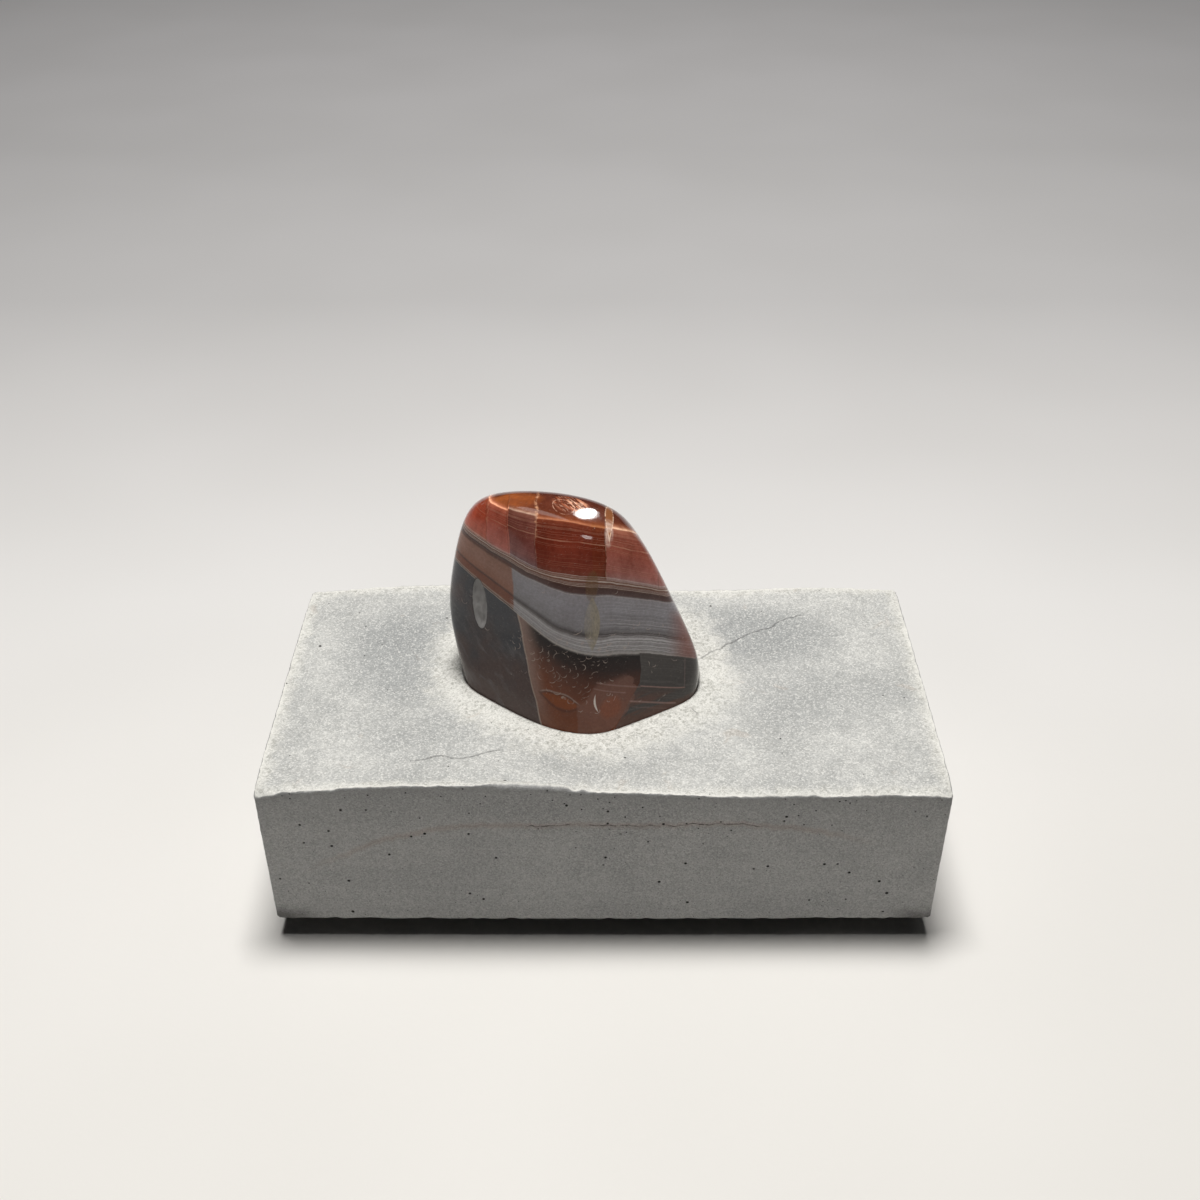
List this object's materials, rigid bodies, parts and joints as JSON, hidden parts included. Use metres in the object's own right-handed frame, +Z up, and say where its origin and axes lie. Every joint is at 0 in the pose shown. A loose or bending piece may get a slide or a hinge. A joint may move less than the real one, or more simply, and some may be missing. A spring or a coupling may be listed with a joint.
{
  "type": "polished agate on a cast base",
  "caption": "Polished banded agate nugget set upright in a socket in a rectangular cast cement block that stands on low round rubber bumpers.",
  "frame": {"origin": "on the floor under the middle of the cast base, at the lowest level of its bumpers", "axes": "+X along the base's long side to the right as the specimen faces the viewer, +Y to the back, +Z up"},
  "size_m": [0.1, 0.053, 0.0605],
  "materials": {
    "agate": "polished",
    "cement": "matte",
    "bumper_rubber": "matte"
  },
  "bodies": {
    "root": {"agate": "agate", "cast_base": "cement", "bumper_front_left": "bumper_rubber", "bumper_front_right": "bumper_rubber", "bumper_back_left": "bumper_rubber", "bumper_back_right": "bumper_rubber"}
  },
  "joints": []
}
